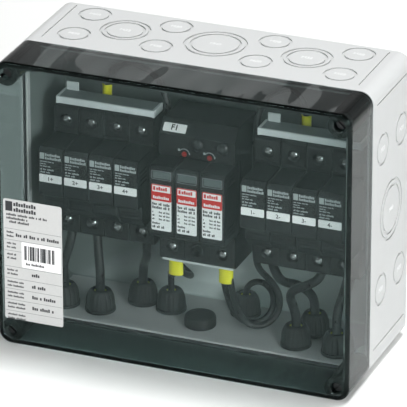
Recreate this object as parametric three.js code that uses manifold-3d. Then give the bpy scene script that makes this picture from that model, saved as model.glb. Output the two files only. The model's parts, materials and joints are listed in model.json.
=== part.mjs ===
// A four-string dc combiner box: a grey moulded enclosure with a clear smoked lid, and on a top-hat rail
// inside it eight hinged fuse holders, a three-pole surge arrester, two comb bars and their wiring.
// Millimetres, +Z up. X is the width, the lid faces -Y, and the origin is the middle of the underside.

import * as THREE from 'three';
import { mergeVertices } from 'three/addons/utils/BufferGeometryUtils.js';
import Module from 'manifold-3d';

const wasm = await Module();
wasm.setup();

// ---- driving dimensions ----------------------------------------------------------------------------------

const WIDTH = 247; // outside, along X
const DEPTH = 112.5; // outside, along Y
const HEIGHT = 202; // outside, along Z
const CORNER = 9; // outside corner radius of the four long edges
const WALL = 3;
const GAP = 0.3; // clearance between neighbouring pieces

const LID_DEPTH = 40.5;
const FRONT = -DEPTH / 2; // lid face
const BACK = DEPTH / 2; // wall side
const SEAM = FRONT + LID_DEPTH; // plane where lid and base meet
const BASE_FRONT = SEAM + GAP;
const BACK_INSIDE = BACK - WALL;

const RIM_WIDTH = 6; // thicker edge of the base around its mouth
const RIM_DEPTH = 4.5;
const GASKET = { outset: 2.6, width: 1.6, groove: 2.2, depth: 2 };

const SCREW = { inset: 8.6, headBore: 4.2, shankBore: 2.8 }; // corner screws and their bores
const SCREW_BOSS = { lidRadius: 8.2, baseRadius: 7.8, end: SEAM + 12.8 };
const SCREW_HEAD = { radius: 3.8, front: FRONT + 5, back: FRONT + 10 };
const SCREW_SHANK = { radius: 2.5, end: SEAM + 9 };
const SCREW_SLOT = { width: 1.3, depth: 1.6 };

const RAIL = { z: 104.5, front: 34, back: 41.5, sheet: 1.2, half: 17.5, channel: 12.5, length: 226 };
const RAIL_FIXING = { x: 106, postRadius: 5, bore: 2.5, hole: 2.6, headRadius: 4, shank: 2.2 };

const PITCH = 17.8; // one module on the rail
const MODULE = 17.4; // width of one housing
const STRINGS = 4;
const POSITIVE_X = -98; // middle of the first positive fuse holder
const NEGATIVE_X = 44.6; // middle of the first negative fuse holder
const ARRESTER_X = -1.4; // middle of the surge arrester

const NOSE = -24; // front plane of carriers and plugs
const HOUSING_BACK = 39.5;
const FUSE_BASE = { bottom: 59, top: 150, shoulder: 3, bay: 9.6, bayBottom: 79, bayTop: 131.2 };
const ENTRY = { y: 12, radius: 3.8, depth: 10 }; // cable entry in the underside of a holder
const COMB_ENTRY = { y: 12, width: 8, thickness: 3, depth: 10 };
const CARRIER = { width: 17.2, bottom: 79.6, top: 130.4, back: 8.6, grip: -16, gripTop: 96 };
const LINK = { radius: 5.15, length: 38, cap: 10, y: 0.5, z: 104.5 };

const ARRESTER = { poles: 3, bottom: 56, top: 155, shoulder: -6, bay: 4, bayBottom: 79, bayTop: 131.2 };
const PLUG = { width: 17.2, bottom: 79.6, top: 130.6, back: 3.4 };
const LEAD = { offset: 2.4, y: 1, radius: 2.2 }; // the two leads in each arrester terminal

const COMB = { bottom: 150.4, height: 4.8, front: 6, back: 21, overhang: 8.4, pin: 6, pinThickness: 1.6 };

const GLAND = { sleeve: 8, hole: 8.5, flange: 10.4, foot: 9.8, crown: 7.2, top: 18.5 };
const GLAND_PLACES = {
  p1: [-103, 8],
  p2: [-77, 8],
  p4: [-55, 30],
  output_pos: [-33, 26],
  output_neg: [16, 38],
  n1: [69, 28],
  n3: [64, 6],
  n4: [93, 5],
};
const PLUG_PLACE = [-6, 11];

const STRING_CABLE = 6.2; // outside diameter of the string cables
const LEAD_CABLE = 4.4; // outside diameter of the leads to arrester, bars and outputs

// ---- materials -------------------------------------------------------------------------------------------

const material = (color, roughness, metalness = 0, extra = {}) =>
  new THREE.MeshStandardMaterial({ color, roughness, metalness, ...extra });

const greyPlastic = material(0xd6d8d8, 0.55);
const smokedPlastic = material(0x6d7675, 0.08, 0, { transparent: true, opacity: 0.45 });
const foam = material(0x26282a, 0.9);
const darkScrew = material(0x202425, 0.45);
const zincSteel = material(0xb9bcbc, 0.35, 1);
const darkHousing = material(0x34393b, 0.5);
const carrierPlastic = material(0x3c4245, 0.45);
const ceramic = material(0xe8e6df, 0.3);
const barPlastic = material(0xa8afae, 0.5);
const blackPolyamide = material(0x222526, 0.55);
const cableSheath = material(0x1f2223, 0.5);

// ---- shape helpers ---------------------------------------------------------------------------------------

const EXTRUDE_Y = new THREE.Matrix4().makeBasis(
  new THREE.Vector3(1, 0, 0), new THREE.Vector3(0, 0, 1), new THREE.Vector3(0, -1, 0));
const EXTRUDE_X = new THREE.Matrix4().makeBasis(
  new THREE.Vector3(0, 1, 0), new THREE.Vector3(0, 0, 1), new THREE.Vector3(1, 0, 0));

function solid(geometry) {
  const bare = geometry.clone();
  bare.deleteAttribute('normal');
  bare.deleteAttribute('uv');
  const merged = mergeVertices(bare, 1e-4);
  return new wasm.Manifold(new wasm.Mesh({
    numProp: 3,
    vertProperties: new Float32Array(merged.attributes.position.array),
    triVerts: new Uint32Array(merged.index.array),
  }));
}

function surface(body) {
  const mesh = body.getMesh();
  const geometry = new THREE.BufferGeometry();
  geometry.setAttribute('position', new THREE.BufferAttribute(new Float32Array(mesh.vertProperties), 3));
  geometry.setIndex(new THREE.BufferAttribute(new Uint32Array(mesh.triVerts), 1));
  geometry.computeVertexNormals();
  return geometry;
}

// A rectangle in the X-Z plane, its corners rounded, inset from the outside of the box.
function boxOutline(inset) {
  const x = WIDTH / 2 - inset;
  const low = inset;
  const high = HEIGHT - inset;
  const r = Math.max(CORNER - inset, 2);
  const shape = new THREE.Shape();
  shape.moveTo(-x + r, low);
  shape.lineTo(x - r, low);
  shape.absarc(x - r, low + r, r, -Math.PI / 2, 0);
  shape.absarc(x - r, high - r, r, 0, Math.PI / 2);
  shape.absarc(-x + r, high - r, r, Math.PI / 2, Math.PI);
  shape.absarc(-x + r, low + r, r, Math.PI, 1.5 * Math.PI);
  return shape;
}

// An outline in X-Z, extruded from y0 back to y1.
function alongY(shape, y0, y1, curveSegments = 5) {
  const geometry = new THREE.ExtrudeGeometry(shape, { depth: y1 - y0, bevelEnabled: false, curveSegments });
  return geometry.applyMatrix4(EXTRUDE_Y).translate(0, y1, 0);
}

// A side profile, a list of [y, z], extruded over a width about the plane x.
function alongX(profile, x, width) {
  const shape = new THREE.Shape(profile.map(([y, z]) => new THREE.Vector2(y, z)));
  const geometry = new THREE.ExtrudeGeometry(shape, { depth: width, bevelEnabled: false });
  return geometry.applyMatrix4(EXTRUDE_X).translate(x - width / 2, 0, 0);
}

function rodY(radius, x, z, y0, y1, segments = 16) {
  const geometry = new THREE.CylinderGeometry(radius, radius, y1 - y0, segments);
  return geometry.translate(x, (y0 + y1) / 2, z);
}

function rodZ(radius, x, y, z0, z1, segments = 16) {
  const geometry = new THREE.CylinderGeometry(radius, radius, z1 - z0, segments);
  return geometry.rotateX(Math.PI / 2).translate(x, y, (z0 + z1) / 2);
}

function block(x0, x1, y0, y1, z0, z1) {
  return new THREE.BoxGeometry(x1 - x0, y1 - y0, z1 - z0)
    .translate((x0 + x1) / 2, (y0 + y1) / 2, (z0 + z1) / 2);
}

// A closed profile of [radius, height] turned about a vertical axis through (x, y).
function turnedZ(profile, x, y, segments = 14) {
  const points = profile.map(([r, h]) => new THREE.Vector2(r, h));
  return new THREE.LatheGeometry(points, segments).rotateX(Math.PI / 2).translate(x, y, 0);
}

// A closed profile of [radius, height] turned about an axis along Y through (x, z).
function turnedY(profile, x, z, segments = 12) {
  const points = profile.map(([r, h]) => new THREE.Vector2(r, h));
  return new THREE.LatheGeometry(points, segments).translate(x, 0, z);
}

function tube(points, diameter, steps) {
  const curve = new THREE.CatmullRomCurve3(points.map((p) => new THREE.Vector3(...p)), false, 'centripetal');
  const sides = 8;
  const section = new THREE.Shape();
  for (let i = 0; i < sides; i += 1) {
    const a = (2 * Math.PI * i) / sides;
    const [px, py] = [Math.cos(a) * diameter / 2, Math.sin(a) * diameter / 2];
    if (i === 0) section.moveTo(px, py);
    else section.lineTo(px, py);
  }
  return new THREE.ExtrudeGeometry(section, { extrudePath: curve, steps, bevelEnabled: false });
}

const assembly = new THREE.Group();

function add(name, shape, finish) {
  const geometry = shape.isBufferGeometry ? shape : surface(shape);
  const mesh = new THREE.Mesh(geometry, finish);
  mesh.name = name;
  assembly.add(mesh);
}

// ---- enclosure -------------------------------------------------------------------------------------------

const screwPlaces = [];
for (const x of [-1, 1]) {
  for (const z of [SCREW.inset, HEIGHT - SCREW.inset]) {
    screwPlaces.push([x * (WIDTH / 2 - SCREW.inset), z]);
  }
}

function enclosureBase() {
  let base = solid(alongY(boxOutline(0), BASE_FRONT, BACK));
  base = base.subtract(solid(alongY(boxOutline(WALL), BASE_FRONT + RIM_DEPTH, BACK_INSIDE)));
  base = base.subtract(solid(alongY(boxOutline(RIM_WIDTH), BASE_FRONT - 1, BASE_FRONT + RIM_DEPTH + 1)));
  for (const [x, z] of screwPlaces) {
    base = base.add(solid(rodY(SCREW_BOSS.baseRadius, x, z, BASE_FRONT, SCREW_BOSS.end)));
    base = base.subtract(solid(rodY(SCREW.shankBore, x, z, BASE_FRONT - 1, SCREW_SHANK.end + 2)));
  }
  for (const side of [-1, 1]) {
    const x = side * RAIL_FIXING.x;
    base = base.add(solid(rodY(RAIL_FIXING.postRadius, x, RAIL.z, RAIL.back + GAP, BACK - 1)));
    base = base.subtract(solid(rodY(RAIL_FIXING.bore, x, RAIL.z, RAIL.back, BACK_INSIDE - 1.5, 12)));
  }
  const groove = solid(alongY(boxOutline(GASKET.outset - GAP), BASE_FRONT - 1, BASE_FRONT + GASKET.depth))
    .subtract(solid(alongY(boxOutline(GASKET.outset + GASKET.groove - GAP), BASE_FRONT - 2, BACK)));
  base = base.subtract(groove);
  for (const [x, y] of [...Object.values(GLAND_PLACES), PLUG_PLACE]) {
    base = base.subtract(solid(rodZ(GLAND.hole, x, y, -1, WALL + 2, 14)));
  }
  return base;
}

function enclosureLid() {
  let lid = solid(alongY(boxOutline(0), FRONT, SEAM));
  lid = lid.subtract(solid(alongY(boxOutline(WALL), FRONT + WALL, SEAM + 1)));
  for (const [x, z] of screwPlaces) {
    lid = lid.add(solid(rodY(SCREW_BOSS.lidRadius, x, z, FRONT + 1, SEAM)));
    lid = lid.subtract(solid(rodY(SCREW.headBore, x, z, FRONT - 1, SCREW_HEAD.back + GAP)));
    lid = lid.subtract(solid(rodY(SCREW.shankBore, x, z, FRONT, SEAM + 1)));
  }
  return lid;
}

function lidGasket() {
  const ring = boxOutline(GASKET.outset);
  ring.holes.push(boxOutline(GASKET.outset + GASKET.width));
  return alongY(ring, BASE_FRONT, BASE_FRONT + GASKET.depth - GAP);
}

function lidScrew(x, z) {
  const profile = [
    [0, SCREW_HEAD.front], [SCREW_HEAD.radius, SCREW_HEAD.front], [SCREW_HEAD.radius, SCREW_HEAD.back],
    [SCREW_SHANK.radius, SCREW_HEAD.back], [SCREW_SHANK.radius, SCREW_SHANK.end - 2],
    [SCREW_SHANK.radius - 1, SCREW_SHANK.end], [0, SCREW_SHANK.end],
  ];
  const slot = block(x - SCREW_HEAD.radius - 1, x + SCREW_HEAD.radius + 1,
    SCREW_HEAD.front - 1, SCREW_HEAD.front + SCREW_SLOT.depth,
    z - SCREW_SLOT.width / 2, z + SCREW_SLOT.width / 2);
  return solid(turnedY(profile, x, z)).subtract(solid(slot));
}

add('base_shell', enclosureBase(), greyPlastic);
add('lid_shell', enclosureLid(), smokedPlastic);
add('lid_gasket', lidGasket(), foam);
screwPlaces.forEach(([x, z], i) => add(`lid_screw_${i + 1}`, lidScrew(x, z), darkScrew));

// ---- mounting rail ---------------------------------------------------------------------------------------

function topHatRail() {
  const { front, back, sheet, half, channel, z } = RAIL;
  const upper = [
    [back - sheet, z + channel], [front, z + channel], [front, z + half], [front + sheet, z + half],
    [front + sheet, z + channel + sheet], [back, z + channel + sheet],
  ];
  const lower = upper.map(([y, height]) => [y, 2 * z - height]).reverse();
  let rail = solid(alongX([...upper, ...lower].reverse(), 0, RAIL.length));
  for (const side of [-1, 1]) {
    rail = rail.subtract(solid(rodY(RAIL_FIXING.hole, side * RAIL_FIXING.x, z, back - 3, back + 1, 12)));
  }
  return rail;
}

function railScrew(x) {
  const { headRadius, shank } = RAIL_FIXING;
  const seat = RAIL.back - RAIL.sheet - GAP;
  const profile = [
    [0, seat - 2.6], [headRadius - 1, seat - 2.6], [headRadius, seat - 1.6], [headRadius, seat],
    [shank, seat], [shank, BACK_INSIDE - 3], [0, BACK_INSIDE - 2],
  ];
  return turnedY(profile, x, RAIL.z, 10);
}

add('din_rail', topHatRail(), zincSteel);
[-1, 1].forEach((side, i) => add(`rail_screw_${i + 1}`, railScrew(side * RAIL_FIXING.x), zincSteel));

// ---- fuse holders ----------------------------------------------------------------------------------------

// The back of a rail-mounted housing from its top to its bottom, hooked over the flanges of the rail.
function railBack(top, bottom) {
  const { z, half, front, sheet } = RAIL;
  const slot = half + 0.4;
  const hook = half - 2.6;
  const face = front - GAP;
  const behind = front + sheet + GAP;
  return [
    [HOUSING_BACK - 8, top], [HOUSING_BACK, top - 10], [HOUSING_BACK, z + hook], [behind, z + hook],
    [behind, z + slot], [face, z + slot], [face, z - slot], [behind, z - slot], [behind, z - hook],
    [HOUSING_BACK, z - hook], [HOUSING_BACK, bottom + 10], [HOUSING_BACK - 8, bottom],
  ];
}

function fuseBase(x) {
  const { bottom, top, shoulder, bay, bayBottom, bayTop } = FUSE_BASE;
  const profile = [
    [shoulder + 1.5, top], ...railBack(top, bottom), [shoulder + 1.5, bottom], [shoulder, bottom + 1.5],
    [shoulder, bayBottom], [bay, bayBottom], [bay, bayTop], [shoulder, bayTop], [shoulder, top - 1.5],
  ].reverse();
  const { y, radius, depth } = ENTRY;
  const comb = COMB_ENTRY;
  return solid(alongX(profile, x, MODULE))
    .subtract(solid(rodZ(radius, x, y, bottom - 1, bottom + depth, 12)))
    .subtract(solid(block(x - comb.width / 2, x + comb.width / 2,
      comb.y - comb.thickness / 2, comb.y + comb.thickness / 2, top - comb.depth, top + 1)));
}

function fuseCarrier(x) {
  const { width, bottom, top, back, grip, gripTop } = CARRIER;
  const profile = [
    [back, bottom], [back, top - 2.4], [back - 2.6, top], [NOSE + 3, top], [NOSE, top - 3],
    [NOSE, gripTop + 1], [NOSE + 1, gripTop], [grip, gripTop], [grip, bottom + 6], [grip + 5, bottom],
  ];
  const pocket = block(x - LINK.radius - 0.5, x + LINK.radius + 0.5, LINK.y - LINK.radius - 0.5, back + 1,
    LINK.z - LINK.length / 2 - 0.6, LINK.z + LINK.length / 2 + 0.6);
  return solid(alongX(profile, x, width)).subtract(solid(pocket));
}

function fuseLink(x) {
  const half = LINK.length / 2;
  const profile = [
    [0, LINK.z - half], [LINK.radius, LINK.z - half], [LINK.radius, LINK.z - half + LINK.cap],
    [LINK.radius - 0.35, LINK.z - half + LINK.cap], [LINK.radius - 0.35, LINK.z + half - LINK.cap],
    [LINK.radius, LINK.z + half - LINK.cap], [LINK.radius, LINK.z + half], [0, LINK.z + half],
  ];
  return turnedZ(profile, x, LINK.y, 8);
}

const holders = [];
for (let i = 0; i < STRINGS; i += 1) {
  holders.push([`p${i + 1}`, POSITIVE_X + i * PITCH], [`n${i + 1}`, NEGATIVE_X + i * PITCH]);
}
for (const [label, x] of holders) {
  add(`fuse_base_${label}`, fuseBase(x), darkHousing);
  add(`fuse_carrier_${label}`, fuseCarrier(x), carrierPlastic);
  add(`fuse_link_${label}`, fuseLink(x), ceramic);
}

// ---- comb bars -------------------------------------------------------------------------------------------

function combBar(firstX) {
  const lastX = firstX + (STRINGS - 1) * PITCH;
  const { bottom, height, front, back, overhang, pin, pinThickness } = COMB;
  let bar = solid(block(firstX - overhang, lastX + overhang, front, back, bottom, bottom + height));
  for (let i = 0; i < STRINGS; i += 1) {
    const x = firstX + i * PITCH;
    bar = bar.add(solid(block(x - pin / 2, x + pin / 2, COMB_ENTRY.y - pinThickness / 2,
      COMB_ENTRY.y + pinThickness / 2, bottom - COMB_ENTRY.depth + 1, bottom + 1)));
  }
  return bar;
}

add('comb_bar_pos', combBar(POSITIVE_X), barPlastic);
add('comb_bar_neg', combBar(NEGATIVE_X), barPlastic);

// ---- surge arrester --------------------------------------------------------------------------------------

const terminalX = [ARRESTER_X - PITCH, ARRESTER_X + PITCH]; // plus and minus
const leadX = (terminal, side) => terminalX[terminal] + side * LEAD.offset;

function arresterBase() {
  const { poles, bottom, top, shoulder, bay, bayBottom, bayTop } = ARRESTER;
  const profile = [
    [shoulder + 8, top], ...railBack(top, bottom), [shoulder + 2, bottom], [shoulder, bottom + 2],
    [shoulder, bayBottom], [bay, bayBottom], [bay, bayTop], [shoulder, bayTop], [shoulder, top - 8.5],
  ].reverse();
  let base = solid(alongX(profile, ARRESTER_X, poles * PITCH - 0.2));
  for (const terminal of [0, 1]) {
    for (const side of [-1, 1]) {
      const bore = rodZ(LEAD.radius + GAP, leadX(terminal, side), LEAD.y, bottom - 1, bottom + 8, 16);
      base = base.subtract(solid(bore));
    }
  }
  return base;
}

function arresterPlug(x) {
  const { width, bottom, top, back } = PLUG;
  return alongX([
    [back, bottom], [back, top], [NOSE + 2, top], [NOSE, top - 2], [NOSE, bottom + 2], [NOSE + 2, bottom],
  ], x, width);
}

add('spd_base', arresterBase(), darkHousing);
for (let i = 0; i < ARRESTER.poles; i += 1) {
  add(`spd_plug_${i + 1}`, arresterPlug(ARRESTER_X + (i - 1) * PITCH), carrierPlastic);
}

// ---- cable glands ----------------------------------------------------------------------------------------

function cableGland([x, y], bore) {
  const { sleeve, flange, foot, crown, top } = GLAND;
  const lift = WALL + GAP;
  return turnedZ([
    [bore, GAP], [sleeve, GAP], [sleeve, lift], [flange, lift], [flange, lift + 2.4], [foot, lift + 2.4],
    [crown, top - 1.5], [crown - 1.6, top], [bore, top], [bore, GAP],
  ], x, y);
}

function blankingPlug([x, y]) {
  const { sleeve, flange } = GLAND;
  const lift = WALL + GAP;
  return turnedZ([
    [0, GAP], [sleeve, GAP], [sleeve, lift], [flange + 0.3, lift], [flange + 0.3, lift + 6],
    [flange - 1, lift + 7.5], [0, lift + 7.5],
  ], x, y);
}

const leadGlands = ['output_pos', 'output_neg'];
for (const [label, place] of Object.entries(GLAND_PLACES)) {
  const diameter = leadGlands.includes(label) ? LEAD_CABLE : STRING_CABLE;
  add(`gland_${label}`, cableGland(place, diameter / 2 + GAP), blackPolyamide);
}
add('blanking_plug', blankingPlug(PLUG_PLACE), blackPolyamide);

// ---- wiring ----------------------------------------------------------------------------------------------

// Each string cable rises through its gland and bends over into the underside of its fuse holder.
const up = ([x, y]) => [[x, y, 1], [x, y, GLAND.top - 2], [x, y, GLAND.top + 5]];
const into = (x) => [[x, ENTRY.y, FUSE_BASE.bottom - 1], [x, ENTRY.y, FUSE_BASE.bottom + ENTRY.depth - 2]];
const holderX = Object.fromEntries(holders);
const stringRoutes = {
  p1: [[-103, 7, 32], [-100, 9, 45]],
  p2: [[-77, 8, 32], [-79, 10, 45]],
  p4: [[-54, 29, 31], [-48, 20, 43]],
  n1: [[68, 27, 30], [60, 22, 39], [50, 16, 43]],
  n3: [[62, 6, 31], [60, 5, 38], [63, 4, 44], [71, 5, 48], [78, 9, 52]],
  n4: [[93, 6, 32], [96, 9, 45]],
};
for (const [label, route] of Object.entries(stringRoutes)) {
  const points = [...up(GLAND_PLACES[label]), ...route, ...into(holderX[label])];
  add(`cable_${label}`, tube(points, STRING_CABLE, 2 * points.length), cableSheath);
}

// Two leads leave each arrester terminal: one to the output gland, one up the gap beside the arrester
// and over onto the top of the second fuse holder, behind the comb bar.
const LINK_END = FUSE_BASE.top + GAP;
const down = (terminal, side) => {
  const x = leadX(terminal, side);
  return [[x, LEAD.y, ARRESTER.bottom + 6], [x, LEAD.y, ARRESTER.bottom - 6]];
};
const leadRoutes = {
  pos_output: [...down(0, -1), [-22.5, 4, 41], [-27, 13, 36], [-32, 23, 32], [-33, 26, 27], [-33, 26, 18],
    [-33, 26, 1]],
  pos_link: [...down(0, 1), [-16.5, 5, 43], [-16, 17, 35], [-20, 29, 30], [-27, 30, 34], [-31.9, 24, 46],
    [-31.9, 20, 62], [-31.9, 20, 100], [-31.9, 20, 140], [-34, 21, 160], [-46, 24, 173], [-64, 27, 175],
    [-76, 27, 168], [-78.5, 27, 158],
    [-78.5, 27, LINK_END]],
  neg_output: [...down(1, -1), [16, 3, 34], [19, 9, 18], [25, 14.5, 9], [33, 18, 8.5], [39, 26, 14],
    [37, 34, 24], [27, 38, 29], [18, 38, 25], [16, 38, 18], [16, 38, 1]],
  neg_link: [...down(1, 1), [21, 2, 34], [24, 5.5, 19], [29, 8.5, 10.5], [38, 12, 9.5], [45, 21, 15],
    [44, 28, 27], [37, 26, 38], [31.5, 20, 48], [30.5, 18, 62], [30.5, 18, 100], [30.5, 18, 140],
    [32, 20, 160], [42, 24, 172], [54, 27, 174], [61, 27, 166], [62.4, 27, 158], [62.4, 27, LINK_END]],
};
for (const [label, route] of Object.entries(leadRoutes)) {
  add(`lead_${label}`, tube(route, LEAD_CABLE, 2 * route.length + 2), cableSheath);
}

export default assembly;
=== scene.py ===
"""Looks of the dc combiner box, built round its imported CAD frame.

Shapes are given in millimetres in the frame of the CAD and scaled to metres when a piece is made. X is the
width, the lid faces -Y, and Z is up from the underside.
"""

import json
import math

import bmesh
import bpy
from mathutils import Matrix, Vector

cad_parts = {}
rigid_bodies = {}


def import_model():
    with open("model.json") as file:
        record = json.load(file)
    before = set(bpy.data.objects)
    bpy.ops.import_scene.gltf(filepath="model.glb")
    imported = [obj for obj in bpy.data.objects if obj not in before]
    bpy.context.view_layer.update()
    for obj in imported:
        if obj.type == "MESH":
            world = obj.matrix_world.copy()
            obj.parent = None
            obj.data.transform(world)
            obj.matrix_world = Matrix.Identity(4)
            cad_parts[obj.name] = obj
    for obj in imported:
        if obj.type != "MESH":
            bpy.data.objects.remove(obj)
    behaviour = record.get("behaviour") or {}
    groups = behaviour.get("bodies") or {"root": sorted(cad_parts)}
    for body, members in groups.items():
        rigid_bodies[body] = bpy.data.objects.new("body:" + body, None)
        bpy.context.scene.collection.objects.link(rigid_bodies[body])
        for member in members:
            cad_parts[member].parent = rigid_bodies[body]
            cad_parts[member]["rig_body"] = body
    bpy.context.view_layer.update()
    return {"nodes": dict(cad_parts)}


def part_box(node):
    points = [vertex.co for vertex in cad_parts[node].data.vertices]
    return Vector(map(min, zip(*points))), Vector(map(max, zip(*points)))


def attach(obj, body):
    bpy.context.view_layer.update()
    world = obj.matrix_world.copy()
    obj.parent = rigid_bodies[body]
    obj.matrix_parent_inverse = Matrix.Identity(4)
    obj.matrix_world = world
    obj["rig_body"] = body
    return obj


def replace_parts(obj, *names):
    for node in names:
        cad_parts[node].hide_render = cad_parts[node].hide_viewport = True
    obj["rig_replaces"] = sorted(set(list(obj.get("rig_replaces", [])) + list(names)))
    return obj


MM = 0.001

# ---- camera ------------------------------------------------------------------------------------------------

AZIMUTH, ELEVATION, ROLL = (math.radians(a) for a in (21.8, 24.5, -0.06))
DISTANCE = 3045 * MM
AIM = Vector((0, 0, 90)) * MM
OFFSET = (0.6 * MM, 6.8 * MM)
LENS = 410


def place_camera():
    back = Vector((math.sin(AZIMUTH) * math.cos(ELEVATION), -math.cos(AZIMUTH) * math.cos(ELEVATION),
                   math.sin(ELEVATION)))
    level = Vector((math.cos(AZIMUTH), math.sin(AZIMUTH), 0))
    upright = back.cross(level)
    right = math.cos(ROLL) * level + math.sin(ROLL) * upright
    up = -math.sin(ROLL) * level + math.cos(ROLL) * upright
    camera = bpy.data.objects.new("camera", bpy.data.cameras.new("camera"))
    camera.data.sensor_width = 36
    camera.data.lens = LENS
    eye = AIM + DISTANCE * back + OFFSET[0] * right + OFFSET[1] * up
    camera.matrix_world = Matrix.Translation(eye) @ Matrix((right, up, back)).transposed().to_4x4()
    bpy.context.scene.collection.objects.link(camera)
    bpy.context.scene.camera = camera


place_camera()
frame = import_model()


def mm_box(node):
    """Lowest and highest corner of a CAD node, in millimetres."""
    low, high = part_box(node)
    return low / MM, high / MM


STRINGS = [sign + number for number in "1234" for sign in "pn"]
HOLDER_X = {s: sum(v.x for v in mm_box("fuse_base_" + s)) / 2 for s in STRINGS}
PLUG_X = [sum(v.x for v in mm_box(f"spd_plug_{i}")) / 2 for i in (1, 2, 3)]

# ---- materials ---------------------------------------------------------------------------------------------


def linear(*rgb):
    """Scene-linear colour from 0 to 255 screen values."""
    return tuple((c / 255 / 12.92) if c <= 10 else ((c / 255 + 0.055) / 1.055) ** 2.4 for c in rgb)


class Nodes:
    """A material's node tree, with short calls to add to it."""

    def __init__(self, name):
        self.material = bpy.data.materials.new(name)
        self.material.use_nodes = True
        self.tree = self.material.node_tree
        self.shader = self.tree.nodes["Principled BSDF"]
        self.output = self.tree.nodes["Material Output"]
        self.place = self.add("TexCoord").outputs["Object"]

    def add(self, kind, **inputs):
        node = self.tree.nodes.new("ShaderNode" + kind)
        for key, value in inputs.items():
            self.feed(node.inputs[key.replace("_", " ")], value)
        return node

    def feed(self, socket, value):
        if isinstance(value, bpy.types.NodeSocket):
            self.tree.links.new(value, socket)
        else:
            socket.default_value = value

    def set(self, **inputs):
        for key, value in inputs.items():
            self.feed(self.shader.inputs[key.replace("_", " ")], value)

    def noise(self, scale, detail=3.0, stretch=(1, 1, 1)):
        moved = self.add("Mapping", Vector=self.place, Scale=stretch)
        return self.add("TexNoise", Vector=moved.outputs[0], Scale=scale, Detail=detail).outputs["Fac"]

    def ramp(self, value, low, high, colours):
        node = self.add("ValToRGB", Fac=value)
        for element, position, colour in zip(node.color_ramp.elements, (low, high), colours):
            element.position = position
            element.color = (*colour, 1)
        return node.outputs["Color"]

    def between(self, value, low, high, bottom, top):
        node = self.add("MapRange", Value=value)
        for key, number in (("From Min", low), ("From Max", high), ("To Min", bottom), ("To Max", top)):
            node.inputs[key].default_value = number
        return node.outputs[0]

    def bump(self, height, distance, strength=1.0):
        self.set(Normal=self.add("Bump", Height=height, Distance=distance, Strength=strength).outputs[0])


def moulded(name, colour, roughness=0.5, grain=900.0, depth=0.00003, shade=0.05, **more):
    """Moulded plastic: a fine spark-eroded grain, and a slow drift of colour and gloss."""
    n = Nodes(name)
    drift = n.noise(14.0)
    dark = tuple(c * (1 - shade) for c in colour)
    light = tuple(min(1, c * (1 + shade)) for c in colour)
    n.set(Base_Color=n.ramp(drift, 0.3, 0.7, (dark, light)),
          Roughness=n.between(n.noise(40.0), 0.3, 0.7, roughness - 0.05, roughness + 0.05), **more)
    n.bump(n.noise(grain, 2.0), depth)
    return n.material


def metal(name, colour, roughness=0.32):
    """Plated or turned metal with fine drawn lines."""
    n = Nodes(name)
    lines = n.noise(300.0, 2.0, (1, 12, 12))
    n.set(Base_Color=n.ramp(lines, 0.3, 0.7, (tuple(c * 0.85 for c in colour), colour)), Metallic=1.0,
          Roughness=n.between(lines, 0.3, 0.7, roughness - 0.08, roughness + 0.08))
    n.bump(lines, 0.00001)
    return n.material


def painted_light_and_shade_plastic(name, low, high, direction, start, end):
    """Moulded plastic with painted light and shade: its colour goes from low to high along a direction, from
    start to end in mm.
    """
    n = Nodes(name)
    along = n.add("VectorMath")
    along.operation = "DOT_PRODUCT"
    n.feed(along.inputs[0], n.place)
    along.inputs[1].default_value = direction
    share = n.between(along.outputs["Value"], start * MM, end * MM, 0.0, 1.0)
    n.set(Base_Color=n.ramp(share, 0.0, 1.0, (low, high)),
          Roughness=n.between(n.noise(40.0), 0.3, 0.7, 0.45, 0.55))
    n.bump(n.noise(1500, 2.0), 0.00002)
    return n.material


def rubbery(name, colour, roughness=0.55):
    """Cable sheath or foam: matt, with a faint mottled surface."""
    n = Nodes(name)
    mottle = n.noise(260.0, 4.0)
    n.set(Base_Color=n.ramp(mottle, 0.3, 0.7, (tuple(c * 0.8 for c in colour), colour)),
          Roughness=n.between(mottle, 0.3, 0.7, roughness - 0.08, roughness + 0.1))
    n.bump(mottle, 0.00004)
    return n.material


def printed(name, colour, roughness=0.45):
    """Label film or ink, very slightly uneven."""
    n = Nodes(name)
    flecks = n.noise(700.0, 2.0)
    n.set(Base_Color=n.ramp(flecks, 0.35, 0.65, (tuple(c * 0.97 for c in colour), colour)),
          Roughness=n.between(flecks, 0.3, 0.7, roughness - 0.04, roughness + 0.04))
    return n.material


SMOKE_DENSITY = 400.0  # per metre; the lid's face, 1 mm thick, soaks up about a third of the light


def smoked():
    """Clear smoked polycarbonate: it bends and mirrors light, soaks some up, and lets lamps through.

    Faces that look up have slight ripples, which break up what they mirror.
    """
    n = Nodes("smoked_polycarbonate")
    n.set(Base_Color=(1, 1, 1, 1), Roughness=n.between(n.noise(30.0), 0.3, 0.7, 0.0, 0.02), IOR=1.3,
          Specular_Tint=(0.74, 1.0, 0.98, 1), Transmission_Weight=1.0)
    up = n.add("SeparateXYZ", Vector=n.add("NewGeometry").outputs["Normal"]).outputs["Z"]
    n.bump(n.noise(34.0, 1.0, (1, 0.3, 1)), 0.0036, n.between(up, 0.5, 0.9, 0.0, 1.0))
    clear = n.add("BsdfTransparent")
    lamp = n.add("LightPath").outputs["Is Shadow Ray"]
    mix = n.add("MixShader")
    for socket, source in zip(mix.inputs, (lamp, n.shader.outputs[0], clear.outputs[0])):
        n.tree.links.new(source, socket)
    n.tree.links.new(mix.outputs[0], n.output.inputs["Surface"])
    smoke = n.add("VolumeAbsorption", Color=(0.06, 0.19, 0.18, 1), Density=SMOKE_DENSITY)
    n.tree.links.new(smoke.outputs[0], n.output.inputs["Volume"])
    return n.material


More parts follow.
